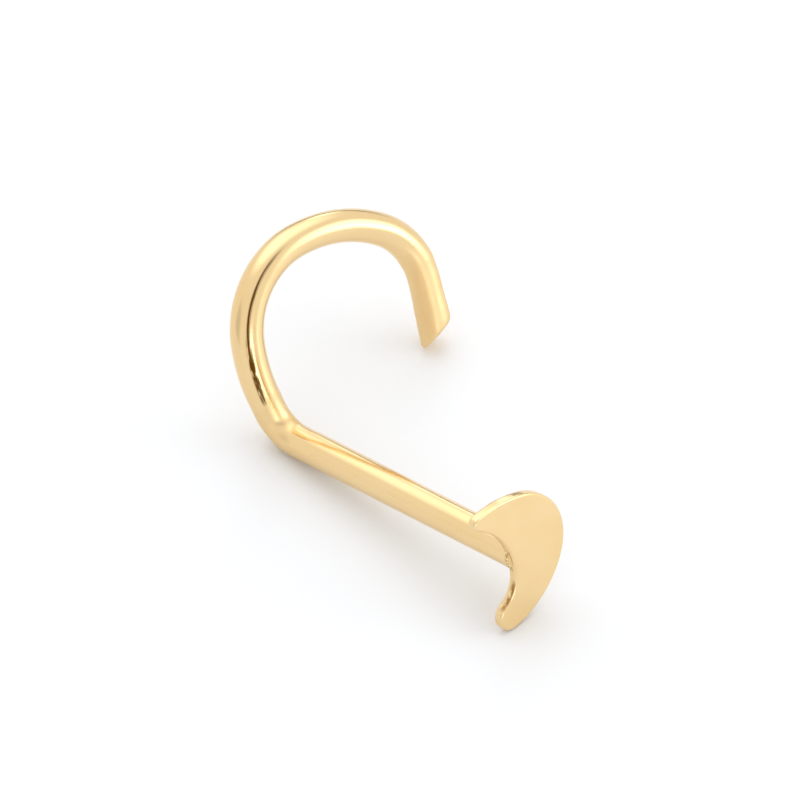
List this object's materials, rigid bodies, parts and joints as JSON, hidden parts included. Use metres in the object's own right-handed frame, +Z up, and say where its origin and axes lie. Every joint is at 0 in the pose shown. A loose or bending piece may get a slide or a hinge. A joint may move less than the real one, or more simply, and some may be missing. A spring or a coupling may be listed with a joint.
{
  "type": "nose stud",
  "caption": "Gold nose screw lying at rest: flat crescent moon head on a straight round-wire post, bent into a curled hook with a slant-cut tip.",
  "frame": {"origin": "on the floor under the middle of the whole stud, which lies on the bend, the moon's lower horn and the hook's tip", "axes": "+Z up from the floor; the moon's face looks towards -Y and a little up, the hook stands at +Y, leans away from the moon and curls towards +X"},
  "size_m": [0.0054, 0.0082, 0.0035],
  "materials": {
    "yellow_gold": "14k yellow gold, tumble-polished to a soft mirror"
  },
  "bodies": {
    "root": {"nose_screw": "yellow_gold"}
  },
  "joints": []
}
